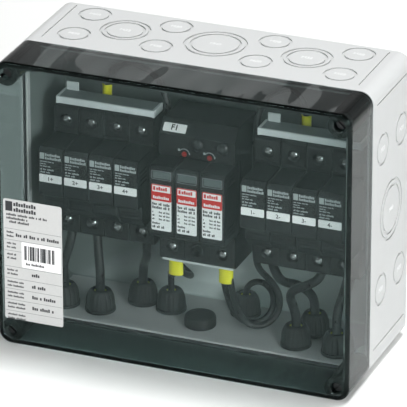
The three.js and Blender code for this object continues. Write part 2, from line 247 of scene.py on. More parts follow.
GREY = moulded("enclosure_grey", linear(188, 190, 190), 0.5, grain=1500, depth=0.00002, shade=0.015)
# The raised size marks are painted lighter than the enclosure's grey: a painted highlight.
GREY_PAINTED_HIGHLIGHT = moulded("size_mark_grey", linear(222, 224, 224), 0.5, shade=0.01)
# Inner walls: painted light low down and to the right, fading to painted shade higher up and to the left.
GREY_INSIDE_PAINTED_LIGHT_AND_SHADE = painted_light_and_shade_plastic("enclosure_inside", linear(220, 230, 228), linear(117, 124, 123), (-0.6, 0, 1), 20, 75)
SMOKED = smoked()
FOAM = rubbery("gasket_foam", linear(40, 42, 44), 0.85)
GLOSSY = moulded("button_black", linear(40, 44, 45), 0.2, grain=1500, depth=0.000005)
BLACK = moulded("black_polyamide", linear(22, 24, 25), 0.5, Specular_IOR_Level=0.35)
SCREW_BLACK = moulded("screw_black", linear(26, 28, 29), 0.4)
HOUSING = moulded("housing_dark", linear(22, 25, 26), 0.5, Specular_IOR_Level=0.35)
CARRIER = moulded("carrier_dark", linear(26, 30, 31), 0.45, Specular_IOR_Level=0.35)
BAR = moulded("bar_grey", linear(212, 218, 218), 0.45)
BAR_DARK = moulded("bar_edge", linear(128, 136, 136), 0.5)
CERAMIC = moulded("fuse_ceramic", linear(232, 228, 216), 0.3, grain=200, depth=0.00001)
ZINC = metal("zinc_steel", linear(196, 198, 198))
BRIGHT = metal("screw_steel", linear(196, 198, 198), 0.22)
COPPER = metal("comb_copper", linear(200, 130, 92), 0.3)
SHEATH = rubbery("cable_sheath", linear(30, 32, 33), 0.33)
YELLOW = moulded("ferrule_yellow", linear(228, 224, 36), 0.4)
LIME = rubbery("seal_lime", linear(222, 224, 40), 0.5)
RED = printed("signal_red", linear(214, 40, 36), 0.4)
RED_DARK = moulded("key_red", linear(150, 30, 28), 0.4)
WHITE = printed("label_white", linear(250, 250, 250), 0.4)
FILM = printed("rating_film", linear(204, 205, 204), 0.4)
PRINT = printed("print_light", linear(176, 182, 183), 0.5)
INK = printed("ink_dark", linear(44, 46, 50), 0.5)
INK_GREY = printed("ink_grey", linear(120, 124, 128), 0.5)
WINDOW = moulded("window_grey", linear(88, 98, 98), 0.2)

# ---- making pieces -----------------------------------------------------------------------------------------


def loft(rings, closed=False):
    """A skin through rings of equally many points, with a face on both end rings unless it is closed."""
    bm = bmesh.new()
    loops = [[bm.verts.new(p) for p in ring] for ring in rings]
    for a, b in zip(loops, loops[1:] + (loops[:1] if closed else [])):
        for i in range(len(a)):
            j = (i + 1) % len(a)
            bm.faces.new((a[i], a[j], b[j], b[i]))
    if not closed:
        bm.faces.new(loops[0])
        bm.faces.new(loops[-1])
    bmesh.ops.recalc_face_normals(bm, faces=bm.faces)
    return bm


def loft_all(shapes):
    """Several bmeshes as one."""
    joined = bmesh.new()
    for bm in shapes:
        scratch = bpy.data.meshes.new("scratch")
        bm.to_mesh(scratch)
        bm.free()
        joined.from_mesh(scratch)
        bpy.data.meshes.remove(scratch)
    return joined


def slab(outline, y0, y1):
    """An outline of (x, z) extruded along Y."""
    return loft([[(x, y, z) for x, z in outline] for y in (y0, y1)])


def block(x0, x1, y0, y1, z0, z1):
    return slab([(x0, z0), (x1, z0), (x1, z1), (x0, z1)], y0, y1)


def arc(cx, cz, radius, start, end, segments):
    """Points on an arc, its angles in degrees."""
    return [(cx + radius * math.cos(math.radians(start + (end - start) * i / segments)),
             cz + radius * math.sin(math.radians(start + (end - start) * i / segments)))
            for i in range(segments + 1)]


def rounded(x0, x1, z0, z1, radius, segments=6):
    """Outline of a rectangle with round corners."""
    return [*arc(x1 - radius, z0 + radius, radius, -90, 0, segments),
            *arc(x1 - radius, z1 - radius, radius, 0, 90, segments),
            *arc(x0 + radius, z1 - radius, radius, 90, 180, segments),
            *arc(x0 + radius, z0 + radius, radius, 180, 270, segments)]


def turned(profile, centre, axis="Z", segments=32, radius_at=None):
    """A closed profile of (radius, height) turned about an axis through centre.

    radius_at(radius, angle) may reshape each ring, as for the ribs of a nut.
    """
    reshape = radius_at or (lambda radius, angle: radius)
    rings = []
    for radius, height in profile:
        ring = []
        for i in range(segments):
            a = 2 * math.pi * i / segments
            r = max(reshape(radius, a), 1e-3)
            u, v = r * math.cos(a), r * math.sin(a)
            ring.append({"X": (height, u, v), "Y": (u, height, v), "Z": (u, v, height)}[axis])
        rings.append([tuple(p + c for p, c in zip(point, centre)) for point in ring])
    return loft(rings)


SHARP = math.radians(35)  # edges steeper than this stay sharp, or get a bevel


def piece(name, bm, material, body, stands_for=(), bevel=0.0, segments=2):
    """Makes an object of a bmesh in millimetres, with softened edges, that rides on a CAD body."""
    bmesh.ops.scale(bm, vec=(MM, MM, MM), verts=bm.verts)
    mesh = bpy.data.meshes.new(name)
    bm.to_mesh(mesh)
    bm.free()
    for m in material if isinstance(material, (list, tuple)) else [material]:
        mesh.materials.append(m)
    return stand(name, mesh, body, stands_for, bevel, segments)


def stand(name, mesh, body, stands_for=(), bevel=0.0, segments=2, offset=(0, 0, 0)):
    """Links a mesh as a piece. Copies of one mesh differ by their offset."""
    mesh.polygons.foreach_set("use_smooth", [True] * len(mesh.polygons))
    mesh.set_sharp_from_angle(angle=SHARP)
    thing = bpy.data.objects.new(name, mesh)
    thing.location = Vector(offset) * MM
    bpy.context.scene.collection.objects.link(thing)
    if bevel:
        edge = thing.modifiers.new("edges", "BEVEL")
        edge.width = bevel * MM
        edge.segments = segments
        edge.limit_method = "ANGLE"
        edge.angle_limit = SHARP
        edge.harden_normals = True
    if body:
        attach(thing, body)
    if stands_for:
        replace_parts(thing, *stands_for)
    return thing


def freeze(thing):
    """Applies a piece's modifiers to its mesh."""
    graph = bpy.context.evaluated_depsgraph_get()
    mesh = bpy.data.meshes.new_from_object(thing.evaluated_get(graph), depsgraph=graph)
    thing.modifiers.clear()
    thing.data = mesh
    return thing


def carve(thing, cutters, operation="DIFFERENCE"):
    """Cuts away or adds closed shapes, given as bmeshes in millimetres."""
    joined = bmesh.new()
    for bm in cutters:
        scratch = bpy.data.meshes.new("scratch")
        bm.to_mesh(scratch)
        bm.free()
        joined.from_mesh(scratch)
        bpy.data.meshes.remove(scratch)
    bmesh.ops.scale(joined, vec=(MM, MM, MM), verts=joined.verts)
    tool_mesh = bpy.data.meshes.new("tool")
    joined.to_mesh(tool_mesh)
    joined.free()
    tool = bpy.data.objects.new("tool", tool_mesh)
    tool.location = thing.location
    bpy.context.scene.collection.objects.link(tool)
    modifier = thing.modifiers.new("carve", "BOOLEAN")
    modifier.operation = operation
    modifier.solver = "EXACT"
    modifier.object = tool
    freeze(thing)
    bpy.data.objects.remove(tool)
    bpy.data.meshes.remove(tool_mesh)
    return thing


def soften(thing, smooth=35):
    """Shades a carved piece: flat faces stay flat, and round ones are smooth."""
    mesh = thing.data
    mesh.polygons.foreach_set("use_smooth", [True] * len(mesh.polygons))
    mesh.set_sharp_from_angle(angle=math.radians(smooth))
    normals = thing.modifiers.new("normals", "WEIGHTED_NORMAL")
    normals.keep_sharp = True
    return thing


# ---- enclosure ---------------------------------------------------------------------------------------------

(BOX_X0, FRONT, _), (BOX_X1, _, TOP) = mm_box("lid_shell")
(_, BASE_FRONT, _), (_, BACK, _) = mm_box("base_shell")
SEAM = mm_box("lid_shell")[1].y
CORNER = 9
WALL = 3
RIM, RIM_DEPTH = 6, 4.5  # the base's thicker mouth
GROOVE = (2.3, 4.8, 2.0)  # the seal's groove: its insets and its depth
SCREWS = [sum(mm_box(f"lid_screw_{i}"), Vector()) / 2 for i in (1, 2, 3, 4)]
RAIL_POSTS, RAIL_MIDDLE = (-106, 106), 104.5  # places of the two posts under the rail


def box_ring(inset, y, segments=10):
    """Outline of the enclosure, inset from its outside, at a depth y."""
    radius = max(CORNER - inset, 1.5)
    outline = rounded(BOX_X0 + inset, BOX_X1 - inset, inset, TOP - inset, radius, segments)
    return [(x, y, z) for x, z in outline]


def quarter(radius, segments=4):
    """(inset, depth) pairs down a rounded edge, from the face to the side."""
    return [(radius - radius * math.sin(a), radius - radius * math.cos(a))
            for a in (math.pi / 2 * i / segments for i in range(segments + 1))]


def ring_groove(face, centre, radius, width=1.7, depth=1.1):
    """A cutter for a circular groove in an outer face. face is X0, X1, Z0 or Z1 for a side of the box."""
    axis, side = face[0], int(face[1])
    outside = {"X0": BOX_X0, "X1": BOX_X1, "Z0": 0, "Z1": TOP}[face]
    sign = 1 if side else -1
    rings = []
    for r, h in ((radius - width / 2, sign * 1.0), (radius - width / 2, -sign * depth),
                 (radius + width / 2, -sign * depth), (radius + width / 2, sign * 1.0)):
        ring = []
        for i in range(64):
            a = 2 * math.pi * i / 64
            u, v = r * math.cos(a), r * math.sin(a)
            if axis == "X":
                ring.append((outside + h, centre[0] + u, centre[1] + v))
            else:
                ring.append((centre[0] + u, centre[1] + v, outside + h))
        rings.append(ring)
    return loft(rings, closed=True)


SMALL, TWO_SMALL, TWO_LARGE = (10.25,), (12.75, 16.25), (16.25, 20.25)  # knock-out radii
TOP_KNOCKOUTS = [((x, y), SMALL) for x in (-92.8, -34.8, 34.8, 92.8) for y in (5.4, 41)]
TOP_KNOCKOUTS += [((0, 23), TWO_LARGE), ((-63.7, 23), TWO_SMALL), ((63.7, 23), TWO_SMALL)]
SIDE_KNOCKOUTS = [((y, z), SMALL) for y in (3.5, 39) for z in (55.3, 155.3)] + [((21.5, 105.5), TWO_LARGE)]


def make_base():
    outer = [(inset, BACK - depth) for inset, depth in quarter(2.0)]
    outer += [(inset, BASE_FRONT + depth) for inset, depth in reversed(quarter(0.6, 3))]
    groove_in, groove_out, groove_depth = GROOVE
    mouth = [(groove_in, BASE_FRONT), (groove_in, BASE_FRONT + groove_depth),
             (groove_out, BASE_FRONT + groove_depth), (groove_out, BASE_FRONT),
             (RIM - 0.3, BASE_FRONT), (RIM, BASE_FRONT + 0.3), (RIM, BASE_FRONT + RIM_DEPTH),
             (WALL, BASE_FRONT + RIM_DEPTH)]
    inner = [(WALL, BACK - WALL - 1.5), (WALL + 0.5, BACK - WALL - 0.5), (WALL + 1.5, BACK - WALL)]
    shell = loft([box_ring(i, y) for i, y in outer + mouth + inner])
    base = piece("enclosure_base", shell, [GREY, GREY_INSIDE_PAINTED_LIGHT_AND_SHADE], "root", ["base_shell"])
    posts, bores = [], []
    for screw in SCREWS:
        at = (screw.x, 0, screw.z)
        posts.append(turned([(7.8, BASE_FRONT + 0.01), (7.8, -3.5), (7.2, -2.95)], at, "Y"))
        bores.append(turned([(2.8, BASE_FRONT - 1), (2.8, -4.75)], at, "Y"))
    for x in RAIL_POSTS:
        at = (x, 0, RAIL_MIDDLE)
        posts.append(turned([(5.6, BACK - WALL + 0.5), (5, BACK - WALL - 2), (5, 41.8)], at, "Y"))
        bores.append(turned([(2.5, 41), (2.5, BACK - WALL - 1.5)], at, "Y"))
    carve(base, posts, "UNION")
    for gland in GLANDS.values():
        bores.append(turned([(8.5, -1), (8.5, WALL + 1)], (gland.x, gland.y, 0)))
    carve(base, bores)
    grooves = []
    for centre, radii in TOP_KNOCKOUTS:
        grooves += [ring_groove("Z1", centre, r) for r in radii]
    for centre, radii in SIDE_KNOCKOUTS:
        grooves += [ring_groove(face, centre, r) for face in ("X0", "X1") for r in radii]
    line, deep = 0.5, 0.9  # half the width, and the depth, of the lines near the corners
    for x in (-110.2, 110.2):
        grooves.append(block(x - line, x + line, -7.2, 51, TOP - deep, TOP + 1))
        grooves.append(block(x - line, x + line, -7.2, 51, -1, deep))
    for z in (16.5, TOP - 11.5):
        grooves.append(block(BOX_X1 - deep, BOX_X1 + 1, -9, 50, z - line, z + line))
        grooves.append(block(BOX_X0 - 1, BOX_X0 + deep, -9, 50, z - line, z + line))
    fixing = 19  # from the sides to the fixing recesses of the back
    for x, z in [(x, z) for x in (BOX_X0 + fixing, BOX_X1 - fixing) for z in (fixing, TOP - fixing)]:
        grooves.append(turned([(5, BACK - 0.8), (5, BACK + 1)], (x, 0, z), "Y", 48))
        grooves.append(turned([(2.6, BACK - 2), (2.6, BACK + 1)], (x, 0, z), "Y", 32))
    grooves.append(turned([(4, BACK - 0.4), (4, BACK + 1)], (0, 0, TOP / 2), "Y", 40))
    border = [[(x, y, z) for x, z in rounded(BOX_X0 + i, BOX_X1 - i, i, TOP - i, 6)]
              for i, y in ((9.4, BACK + 1), (9.4, BACK - 0.6), (10.4, BACK - 0.6), (10.4, BACK + 1))]
    grooves.append(loft(border, closed=True))
    carve(base, grooves)
    # The inner walls above the floor get the second material, whose colour is painted light and shade; the
    # inner floor stays plain grey.
    reach = WALL - 0.05
    for face in base.data.polygons:
        x, y, z = face.center / MM
        inside = BOX_X0 + reach < x < BOX_X1 - reach and reach < z < TOP - reach
        wall = inside and BASE_FRONT + RIM_DEPTH - 0.1 < y < BACK - reach
        face.material_index = int(wall and z > WALL + 0.1)
    soften(base)


SIZES = {SMALL: "M20", TWO_SMALL: "M32", TWO_LARGE: "M40"}


def size_mark(name, text, place, turn, axis):
    """A raised size mark in the middle of a knock-out, turned from the front to the face it stands on."""
    # The lighter grey of the mark is a painted highlight.
    mark = lettering(name, text, 4.4, (0, 0, 0), GREY_PAINTED_HIGHLIGHT, "root", depth=0.1)
    mark.data.transform(Matrix.Translation(Vector(place) * MM) @ Matrix.Rotation(turn, 4, axis))


def make_size_marks():
    quarter_turn = math.pi / 2
    for i, (centre, radii) in enumerate(TOP_KNOCKOUTS):
        size_mark(f"size_mark_top_{i + 1}", SIZES[radii], (*centre, TOP), -quarter_turn, "X")
    for i, (centre, radii) in enumerate(SIDE_KNOCKOUTS):
        for side, x, turn in (("left", BOX_X0, -quarter_turn), ("right", BOX_X1, quarter_turn)):
            size_mark(f"size_mark_{side}_{i + 1}", SIZES[radii], (x, *centre), turn, "Z")


GLANDS = {}
for label in ("p1", "p2", "p4", "output_pos", "output_neg", "n1", "n3", "n4"):
    GLANDS[label] = sum(mm_box("gland_" + label), Vector()) / 2
GLANDS["blank"] = sum(mm_box("blanking_plug"), Vector()) / 2

make_base()


PLATE = 1.0  # thickness of the lid's face


def make_lid():
    outer = [(inset, FRONT + depth) for inset, depth in quarter(2.4, 5)]
    outer += [(0, SEAM - 0.4), (0.3, SEAM)]
    inner = [(WALL - 0.3, SEAM), (WALL, SEAM - 0.4)]
    inner += [(WALL + inset, FRONT + PLATE + depth) for inset, depth in reversed(quarter(1.2, 3))]
    lid = piece("smoked_lid", loft([box_ring(i, y) for i, y in outer + inner]), SMOKED, "lid", ["lid_shell"])
    towers, bores = [], []
    for screw in SCREWS:
        at = (screw.x, 0, screw.z)
        towers.append(turned([(8.2, FRONT + 1.5), (8.2, SEAM - 0.02)], at, "Y", 48))
        bores.append(turned([(4.7, FRONT - 1), (4.7, FRONT), (4.2, FRONT + 0.5), (4.2, -45.95), (2.8, -45.94),
                             (2.8, SEAM + 1)], at, "Y", 48))
    carve(lid, towers, "UNION")
    carve(lid, bores)
    soften(lid)


make_lid()


# ---- printing ----------------------------------------------------------------------------------------------


def prints(name, rects, y, material, body, thickness=0.08):
    """Thin printed marks, rectangles (x0, x1, z0, z1) that stand a hair in front of the plane y."""
    bm = bmesh.new()
    for x0, x1, z0, z1 in rects:
        corners = [[bm.verts.new((x, d, z)) for x, z in ((x0, z0), (x1, z0), (x1, z1), (x0, z1))]
                   for d in (y - thickness, y)]
        bm.faces.new(corners[0])
        bm.faces.new(reversed(corners[1]))
        for i in range(4):
            j = (i + 1) % 4
            bm.faces.new((corners[0][i], corners[1][i], corners[1][j], corners[0][j]))
    bmesh.ops.recalc_face_normals(bm, faces=bm.faces)
    return piece(name, bm, material, body)


def greeked(x, z, height, end, words):
    """Make-believe text from x to end at most, its letters plain bars, in words of so many letters."""
    rects, stem = [], height * 0.6
    for word in words:
        for k in range(word):
            if x + stem > end:
                return rects
            tall = height if (k + word) % 3 == 0 else height * 0.74
            rects.append((x, x + stem * 0.78, z, z + tall))
            x += stem
        x += stem * 0.9
    return rects


def lettering(name, text, size, at, material, body, depth=0.08, bold=0.0):
    """Numerals or signs that stand on a face looking towards -Y, centred on a point."""
    curve = bpy.data.curves.new(name, "FONT")
    curve.body = text
    curve.size = size * MM
    curve.align_x = curve.align_y = "CENTER"
    curve.extrude = depth * MM
    curve.offset = bold * MM
    curve.resolution_u = 3
    source = bpy.data.objects.new(name, curve)
    bpy.context.scene.collection.objects.link(source)
    graph = bpy.context.evaluated_depsgraph_get()
    mesh = bpy.data.meshes.new_from_object(source.evaluated_get(graph), depsgraph=graph)
    bpy.data.objects.remove(source)
    mesh.transform(Matrix.Translation(Vector(at) * MM) @ Matrix.Rotation(math.pi / 2, 4, "X"))
    mesh.materials.append(material)
    return stand(name, mesh, body)


# ---- fuse holders ------------------------------------------------------------------------------------------

SHOULDER = mm_box("fuse_base_p1")[0].y  # front plane of the terminals
NOSE = mm_box("fuse_carrier_p1")[0].y  # front plane of carriers and plugs
UPPER_SCREW, LOWER_SCREW = 140.8, 68.2  # heights of the terminal screws
MODULE = 17.4


def node_copy(node):
    """A CAD node's own shape as a bmesh in millimetres, its triangles joined back into flat faces."""
    bm = bmesh.new()
    bm.from_mesh(frame["nodes"][node].data)
    bmesh.ops.remove_doubles(bm, verts=bm.verts, dist=1e-6)
    bmesh.ops.dissolve_limit(bm, angle_limit=math.radians(1), verts=bm.verts, edges=bm.edges)
    bmesh.ops.scale(bm, vec=(1 / MM,) * 3, verts=bm.verts)
    return bm


def screw_head(radius, y):
    """A terminal screw seen from the front, with a domed head and a cross recess, at x = z = 0."""
    rim = math.radians(60)
    sphere = radius / math.sin(rim)
    angles = [rim * i / 6 for i in range(6, -1, -1)]
    dome = [(sphere * math.sin(a), y + sphere * (1 - math.cos(a))) for a in angles]
    head = turned([(radius, y + 3), *dome], (0, 0, 0), "Y", 32)
    thing = piece("screw_head", head, BRIGHT, None)
    arm, depth = radius * 0.68, 1.6
    carve(thing, [block(-arm, arm, y - 1, y + depth, -0.5, 0.5)])
    carve(thing, [block(-0.5, 0.5, y - 1, y + depth, -arm, arm)])
    mesh = thing.data
    bpy.data.objects.remove(thing)
    return mesh


def turn_in_place(mesh, angle):
    turned_mesh = mesh.copy()
    turned_mesh.transform(Matrix.Rotation(math.radians(angle), 4, "Y"))
    return turned_mesh


TERMINAL_SCREW = screw_head(2.9, SHOULDER)


def make_fuse_holders():
    x0 = HOLDER_X["p1"]
    base = piece("fuse_holder_p1", node_copy("fuse_base_p1"), HOUSING, "root", bevel=0.6, segments=3)
    freeze(base)
    wells = [turned([(4.3, SHOULDER - 1), (4.3, SHOULDER), (3.2, SHOULDER + 1.4), (3.2, SHOULDER + 6)],
                    (x0, 0, z), "Y", 24) for z in (UPPER_SCREW, LOWER_SCREW)]
    seams = [block(x0 - 10, x0 + 10, SHOULDER - 1, SHOULDER + 0.5, z - 0.25, z + 0.25) for z in (134, 76)]
    seams += [block(x0 + side * MODULE / 2 - 0.3, x0 + side * MODULE / 2 + 0.3, 12, 24, z - 0.4, z + 0.4)
              for side in (-1, 1) for z in (84, 88, 92, 118, 122, 126)]
    soften(carve(base, wells + seams), 40)
    carrier = piece("fuse_carrier_body_p1", node_copy("fuse_carrier_p1"), CARRIER, "carrier_p1", bevel=0.9,
                    segments=3)
    freeze(carrier)
    ribs = [block(x0 - 6.5, x0 + 6.5, NOSE + 7.4, NOSE + 8.6, z, z + 1.1) for z in (86.5, 89.2, 91.9)]
    carve(carrier, ribs, "UNION")
    hollows = [block(x0 + side * 8.6 - 0.6, x0 + side * 8.6 + 0.6, NOSE + 3, NOSE + 16, z, z + 1.2)
               for side in (-1, 1) for z in (112, 115, 118, 121)]
    hollows.append(slab(rounded(x0 - 7.9, x0 + 7.9, 105.9, 112.1, 0.6, 3), NOSE - 1, NOSE + 0.25))
    soften(carve(carrier, hollows), 40)
    link_z = sum(v.z for v in mm_box("fuse_link_p1")) / 2
    link_y = sum(v.y for v in mm_box("fuse_link_p1")) / 2
    tube = turned([(4.75, -9.5), (4.75, 9.5)], (x0, link_y, link_z), segments=32)
    ends = [turned([(4.7, s * 19), (5.15, s * 18.6), (5.15, s * 9.2), (4.7, s * 9.2)], (x0, link_y, link_z),
                   segments=32) for s in (-1, 1)]
    link = piece("fuse_ceramic_p1", tube, CERAMIC, "carrier_p1")
    caps = piece("fuse_caps_p1", loft_all(ends), ZINC, "carrier_p1", bevel=0.3)
    text = [(x0 - 7.5, x0 - 4.3, 122.7, 127.1)]
    text += greeked(x0 - 3.7, 125.1, 2.0, x0 + 7.8, (12,))
    text += greeked(x0 - 3.7, 122.7, 1.9, x0 + 7.8, (12,))
    for z, tall, words in ((120.6, 0.8, (4, 6, 5, 3)), (118.9, 0.8, (5, 3)), (117.2, 0.9, (3, 5, 4)),
                           (114.8, 1.2, (2, 3, 7)), (112.8, 1.2, (5, 4))):
        text += greeked(x0 - 7.3, z, tall, x0 + 7.6, words)
    for string in STRINGS:
        shift = (HOLDER_X[string] - x0, 0, 0)
        body = "carrier_" + string
        if string == "p1":
            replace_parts(base, "fuse_base_p1")
            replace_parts(carrier, "fuse_carrier_p1")
            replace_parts(link, "fuse_link_p1")
        else:
            for source, onto, stands_for in ((base, "root", "fuse_base_"), (carrier, body, "fuse_carrier_"),
                                             (link, body, "fuse_link_"), (caps, body, None)):
                copy = source.copy()
                copy.name = source.name.replace("p1", string)
                copy.location = Vector(shift) * MM
                bpy.context.scene.collection.objects.link(copy)
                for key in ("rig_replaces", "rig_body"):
                    if key in copy:
                        del copy[key]
                copy.parent = None
                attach(copy, onto)
                if stands_for:
                    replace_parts(copy, stands_for + string)
        x = HOLDER_X[string]
        prints("carrier_print_" + string, [(a + shift[0], b + shift[0], c, d) for a, b, c, d in text], NOSE,
               PRINT, body)
        tag = slab(rounded(x - 8, x + 8, 106.3, 111.8, 0.7, 4), NOSE - 0.45, NOSE + 0.2)
        piece("marker_tag_" + string, tag, WHITE, body, bevel=0.12)
        mark = string[1] + ("+" if string[0] == "p" else "-")
        lettering("marker_text_" + string, mark, 3.9, (x, NOSE - 0.47, 108.9), INK, body, bold=0.06)
        for place, z, angle in (("upper", UPPER_SCREW, 20), ("lower", LOWER_SCREW, -35)):
            mesh = turn_in_place(TERMINAL_SCREW, angle + 31 * int(string[1]))
            stand(f"terminal_screw_{place}_{string}", mesh, "root", offset=(x, 0, z))


make_fuse_holders()

# ---- comb bars ---------------------------------------------------------------------------------------------

HOLDER_TOP = mm_box("fuse_base_p1")[1].z
FUSE_X = {name: [HOLDER_X[name[0] + number] for number in "1234"] for name in ("pos", "neg")}


def make_comb(sign, node):
    (x0, y0, _), (x1, y1, top) = mm_box(node)
    bottom = HOLDER_TOP + 0.4
    bar = block(x0 + 0.8, x1 - 0.8, y0, y1, bottom, top)
    piece("comb_" + sign, bar, BAR, "root", [node], bevel=0.5)
    inlay = block(x0 + 2, x1 - 2, y0 + 1.2, y1 - 0.8, top - 0.2, top + 0.12)
    piece("comb_top_" + sign, inlay, BAR_DARK, "root", bevel=0.1)
    for side, x in (("left", x0), ("right", x1 - 1.6)):
        cap = block(x, x + 1.6, y0 - 0.25, y1 + 0.2, bottom - 0.2, top + 0.3)
        piece(f"comb_cap_{side}_{sign}", cap, BAR, "root", bevel=0.35)
    pins = loft_all(block(x - 3, x + 3, 11.2, 12.8, bottom - 8.5, bottom + 1) for x in FUSE_X[sign])
    piece("comb_pins_" + sign, pins, COPPER, "root", bevel=0.2)
    tab = block(x0 + 2.2, x0 + 10.7, y1 - 2.2, y1 - 0.8, top - 0.5, top + 6)
    piece("comb_tab_" + sign, tab, BAR, "root", bevel=0.4)


# ---- surge arrester ----------------------------------------------------------------------------------------

ARRESTER_FRONT = mm_box("spd_base")[0].y
SLOPE = (-6, 146.5, 2, 155)  # y and z where the slope at the top starts and ends


def tilt(thing, at, degrees):
    """Turns a piece made round the origin about X, and moves it to a point."""
    thing.data.transform(Matrix.Translation(Vector(at) * MM) @ Matrix.Rotation(math.radians(degrees), 4, "X"))


def make_arrester():
    (x0, front, bottom), (x1, _, _) = mm_box("spd_base")
    base = piece("arrester_base", node_copy("spd_base"), HOUSING, "root", ["spd_base"], bevel=0.8, segments=3)
    freeze(base)
    carve(base, [turned([(4.3, front - 1), (4.3, front), (3.2, front + 1.4), (3.2, front + 6)], (x, 0, 65.5),
                        "Y", 24) for x in PLUG_X])
    carve(base, [block(x - 0.3, x + 0.3, front - 1, front + 0.5, bottom + 3, 76) for x in (-10.3, 7.5)])
    soften(base, 40)
    for i, x in enumerate((PLUG_X[0], PLUG_X[2])):
        stand(f"arrester_screw_{i + 1}", turn_in_place(TERMINAL_SCREW, 50 * i + 15), "root",
              offset=(x, ARRESTER_FRONT - SHOULDER, 65.5))
        at = (x - 3.5, front - 0.02, 73.6)
        lettering(f"arrester_mark_{i + 1}", ("L+", "L-")[i], 4.2, at, PRINT, "root")
        dome_x, dot_x = PLUG_X[i + 1], PLUG_X[i] + 8.9
        dome = [(4.6, front + 0.5), (4.6, front - 0.7), (4.2, front - 1.1), (3.9, front - 0.9),
                (3.7, front - 1.2), (2.6, front - 1.9), (1.2, front - 2.2), (0, front - 2.25)]
        piece(f"arrester_button_{i + 1}", turned(dome, (dome_x, 0, 141.6), "Y", 40), GLOSSY, "root")
        dot = turned([(1.8, front + 0.4), (1.8, front - 0.3), (1.5, front - 0.5), (0, front - 0.5)],
                     (dot_x, 0, 133.8), "Y", 24)
        dot = carve(piece(f"arrester_key_{i + 1}", dot, RED_DARK, "root"),
                    [block(dot_x - 1.3, dot_x + 1.3, front - 1, front - 0.3, 133.6, 134.0)])
        soften(dot)
        outline = arc(dot_x, 133.8, 3.9, 25, 150, 12) + arc(dot_x, 133.8, 3.45, 150, 25, 12)
        tip = [(dot_x + 2.9, 135.0), (dot_x + 4.3, 135.0), (dot_x + 3.6, 133.6)]
        arrow = [slab(outline, front - 0.08, front), slab(tip, front - 0.08, front)]
        arrow.append(block(dot_x - 4.4, dot_x - 3.0, front - 0.08, front, 135.6, 137.2))
        piece(f"arrester_arrow_{i + 1}", loft_all(arrow), PRINT, "root")
    foot = block(x0 + 1.5, x1 - 1.5, front + 0.8, front + 5.5, bottom - 1.1, bottom + 0.3)
    piece("arrester_foot", foot, BAR, "root", bevel=0.25)
    angle = math.degrees(math.atan2(SLOPE[0] - SLOPE[2], SLOPE[3] - SLOPE[1]))
    at = (-18, (SLOPE[0] * 0.6 + SLOPE[2] * 0.4), SLOPE[1] * 0.6 + SLOPE[3] * 0.4)
    tag = piece("arrester_tag", slab(rounded(-8, 8, -3, 3, 0.6, 4), -0.7, 0.05), WHITE, "root", bevel=0.15)
    tilt(tag, at, angle)
    tilt(lettering("arrester_tag_text", "F1", 5.4, (0, -0.72, 0), INK, "root", bold=0.14), at, angle)


def plug_label(x):
    """The marks of a plug's label: white letters on the red part, and dark ones below."""
    left, right = x - 6.4, x + 6.4
    logo = [(left + 0.1, right - 0.1, 112.6, 117.1)]
    inside = [(left + 0.7, left + 2.2, 113.5, 116.3)] + greeked(left + 2.9, 113.7, 2.6, right - 0.6, (8,))
    name = greeked(left + 0.6, 107.6, 2.1, right - 0.6, (9,))
    rows = greeked(left, 102.9, 1.9, right, (3, 2, 4)) + greeked(left, 100.4, 1.9, right, (6, 2, 3))
    for z, words in ((97.4, (1,)), (94.9, (2,)), (92.4, (2,))):
        rows += greeked(left, z, 1.3, left + 3, words) + greeked(left + 4.6, z, 1.3, right, (3, 2, 3))
    rows += greeked(left, 89.3, 1.5, right - 4.5, (6,)) + greeked(left, 86.6, 1.8, right - 4, (2, 2, 2))
    return logo, inside, name, rows


def make_plugs():
    for i, x in enumerate(PLUG_X):
        body = f"spd_plug_{i + 1}"
        plug = piece("plug_body_" + str(i + 1), node_copy(body), CARRIER, body, [body], bevel=0.9, segments=3)
        freeze(plug)
        cuts = [slab(rounded(x - 6.6, x + 6.6, 121.6, 127.4, 0.5, 3), NOSE - 1, NOSE + 0.7)]
        cuts += [block(x + side * 8.6 - 0.5, x + side * 8.6 + 0.5, NOSE + 4, NOSE + 18, z, z + 1.4)
                 for side in (-1, 1) for z in (84, 87, 90, 120, 123, 126)]
        soften(carve(plug, cuts), 40)
        window = slab(rounded(x - 6.2, x + 6.2, 122.0, 127.0, 0.4, 3), NOSE + 0.4, NOSE + 0.8)
        piece(f"plug_window_{i + 1}", window, WINDOW, body, bevel=0.12)
        frame_rings = []
        for g, y in ((-0.3, NOSE), (-0.3, NOSE - 0.08), (0.1, NOSE - 0.08), (0.1, NOSE)):
            outline = rounded(x - 6.6 + g, x + 6.6 - g, 121.6 + g, 127.4 - g, 0.5, 3)
            frame_rings.append([(px, y, pz) for px, pz in outline])
        piece(f"plug_window_edge_{i + 1}", loft(frame_rings, closed=True), INK_GREY, body)
        label = slab(rounded(x - 7, x + 7, 85, 117.8, 1.0, 4), NOSE - 0.12, NOSE + 0.1)
        piece(f"plug_label_{i + 1}", label, WHITE, body)
        band = slab(rounded(x - 7, x + 7, 106.2, 117.8, 1.0, 4), NOSE - 0.16, NOSE - 0.1)
        piece(f"plug_band_{i + 1}", band, RED, body)
        logo, inside, name, rows = plug_label(x)
        prints(f"plug_logo_{i + 1}", logo, NOSE - 0.16, WHITE, body, 0.06)
        prints(f"plug_logo_bars_{i + 1}", inside, NOSE - 0.22, RED, body, 0.05)
        prints(f"plug_name_{i + 1}", name, NOSE - 0.16, WHITE, body, 0.05)
        prints(f"plug_rows_{i + 1}", rows, NOSE - 0.12, INK, body, 0.05)


make_comb("pos", "comb_bar_pos")
make_comb("neg", "comb_bar_neg")
make_arrester()
make_plugs()

# ---- glands and wiring -------------------------------------------------------------------------------------

FLOOR = mm_box("gland_p1")[0].z + WALL  # where the flanges of the glands sit


def ribbed(radius, angle):
    """The dome of a gland's nut, with sixteen grooves round it."""
    return radius - (0.45 if 8 < radius < 10.3 and math.sin(16 * angle) > 0.2 else 0)


